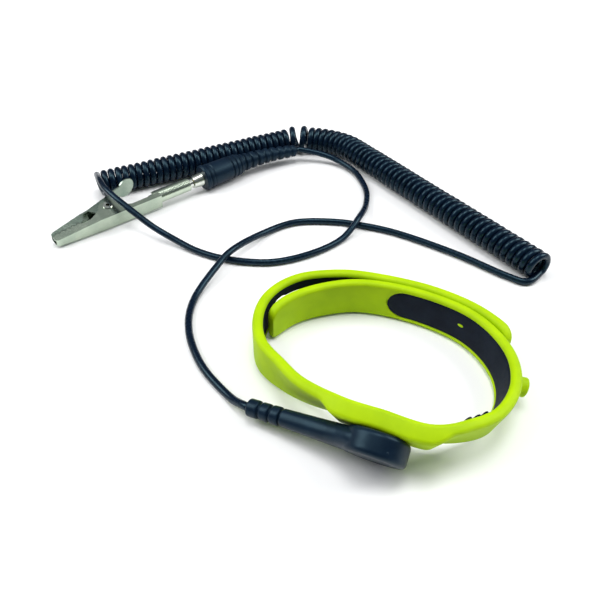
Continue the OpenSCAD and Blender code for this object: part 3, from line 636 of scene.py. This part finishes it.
start_pts = [neck @ Vector((0, 0, x)) for x in (25, boot_len - 1, boot_len + 1.5)]
end_pts = [relief_end + relief_dir * 2, relief_end, relief_bow, relief_start, plug @ Vector((15, 0, 0))]
lead_steps = 10
path = smooth_path([*start_pts, *lead_a, *last_turn, helix[0]], lead_steps)[:-1]
coil_first = len(path)
path += helix
coil_last = len(path)
path += smooth_path([helix[-1], *lead_b, *end_pts], lead_steps)[1:]


def cord_radius(i):
    """The cord, a little fatter along the coil where its turns nearly touch."""
    inside = min(i - coil_first, coil_last - i)
    return cord_r + 0.12 * ease(inside / 30)


cord = make_object("cord", *loft(tube_rings(path, cord_radius, 14)), CORD, "cord_assembly", "cord_rubber")
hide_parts("cord_leads", "cord_coil", "cord_conductor")

# ---------------------------------------------------------------- bend relief behind the grip

relief_steps, ribs = 60, 9
relief_knots = [relief_start - relief_dir * 0.5, relief_start, relief_bow, relief_end]
relief_line = smooth_path(relief_knots, relief_steps)[relief_steps:]


def relief_radius(i):
    """Ribs that get smaller towards the cord."""
    x = i / (len(relief_line) - 1) * ribs
    k = min(ribs - 1, int(x))
    f = x - k
    crest, valley = 3.5 - 0.14 * k, 2.55 - 0.08 * k
    rise = ease(f / 0.12) * (1 - ease((f - 0.6) / 0.12))
    return valley + (crest - valley) * rise


relief = make_object("bend_relief_ribs", *loft(tube_rings(relief_line, relief_radius, 40)), PLASTIC,
                     "cord_assembly", "cord_rubber")
sharp(relief, 60)
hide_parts("bend_relief")

# ---------------------------------------------------------------- hard parts keep the design's own meshes

finishes = {
    "snap_stud": NICKEL, "socket_cup": NICKEL, "socket_spring": BRASS, "socket_tab": BRASS,
    "resistor_body": CERAMIC, "resistor_caps": NICKEL, "resistor_leads": NICKEL, "boot_crimp": COPPER,
    "plug_handle": PLASTIC, "plug_pin": NICKEL, "plug_spring": BRASS, "plug_crimp": COPPER,
    "main_jaw": STEEL, "lever_jaw": SHADED_LEVER_STEEL, "clip_rivet": NICKEL, "clip_spring": STEEL,
}
for name, mat in finishes.items():
    nodes[name].data.materials.clear()
    nodes[name].data.materials.append(mat)
bevels = {"plug_handle": 0.14, "main_jaw": 0.1, "lever_jaw": 0.1, "clip_rivet": 0.08, "plug_pin": 0.06}
bevel_from = 28  # edges sharper than this many degrees are rounded
for name, width in bevels.items():
    m = nodes[name].modifiers.new("edge", "BEVEL")
    m.width = width * MM
    m.segments = 2
    m.limit_method = "ANGLE"
    m.angle_limit = rad(bevel_from)

# ---------------------------------------------------------------- studio

floor_mat = make_material("floor_paint", (0.90, 0.90, 0.90), (0.92, 0.92, 0.92), (0.7, 0.8), bump=0.0, patch=4)
floor_size, floor_drop = 6, 0.0001
bpy.ops.mesh.primitive_plane_add(size=floor_size, location=(0, 0, -floor_drop))
floor = bpy.context.object
floor.name = "floor"
floor.data.materials.append(floor_mat)

world = bpy.data.worlds.new("studio")
bpy.context.scene.world = world
world.use_nodes = True
tree = world.node_tree
background = tree.nodes["Background"]
coord = tree.nodes.new("ShaderNodeTexCoord")
split = tree.nodes.new("ShaderNodeSeparateXYZ")
ramp = tree.nodes.new("ShaderNodeValToRGB")
ramp.color_ramp.elements[0].position = 0.0
ramp.color_ramp.elements[0].color = (0.16, 0.18, 0.20, 1)
ramp.color_ramp.elements[1].position = 0.95
ramp.color_ramp.elements[1].color = (0.95, 0.97, 1.0, 1)
middle = ramp.color_ramp.elements.new(0.7)
middle.color = (0.24, 0.27, 0.29, 1)
tree.links.new(coord.outputs["Generated"], split.inputs["Vector"])
tree.links.new(split.outputs["Z"], ramp.inputs["Fac"])
tree.links.new(ramp.outputs["Color"], background.inputs["Color"])
background.inputs["Strength"].default_value = 0.55


light_target = Vector((0, 0.04, 0))


def area_light(name, at, size, power):
    """A soft rectangular light turned to the object."""
    data = bpy.data.lights.new(name, "AREA")
    data.shape = "RECTANGLE"
    data.size, data.size_y = size
    data.energy = power
    obj = bpy.data.objects.new(name, data)
    bpy.context.scene.collection.objects.link(obj)
    obj.location = at
    obj.rotation_euler = (light_target - Vector(at)).to_track_quat("-Z", "Y").to_euler()


area_light("softbox_left", (-0.75, 0.12, 0.7), (0.6, 0.6), 7)
area_light("softbox_right", (0.75, 0.2, 0.65), (0.5, 0.6), 6.5)
area_light("softbox_top", (0.0, 0.02, 1.0), (0.4, 0.4), 4.5)

camera_data = bpy.data.cameras.new("camera")
camera_data.sensor_width = 36
camera_data.lens = 38.4
camera = bpy.data.objects.new("camera", camera_data)
bpy.context.scene.collection.objects.link(camera)
look_at = Vector((-0.023, 0.031, 0))
pitch_down, distance = 41, 0.20317
forward = Vector((0, math.cos(rad(pitch_down)), -math.sin(rad(pitch_down))))
camera.location = look_at - forward * distance
camera.rotation_euler = forward.to_track_quat("-Z", "Y").to_euler()
camera_data.clip_start = 0.005
camera_data.clip_end = 20
bpy.context.scene.camera = camera
bpy.context.scene.view_settings.view_transform = "Standard"
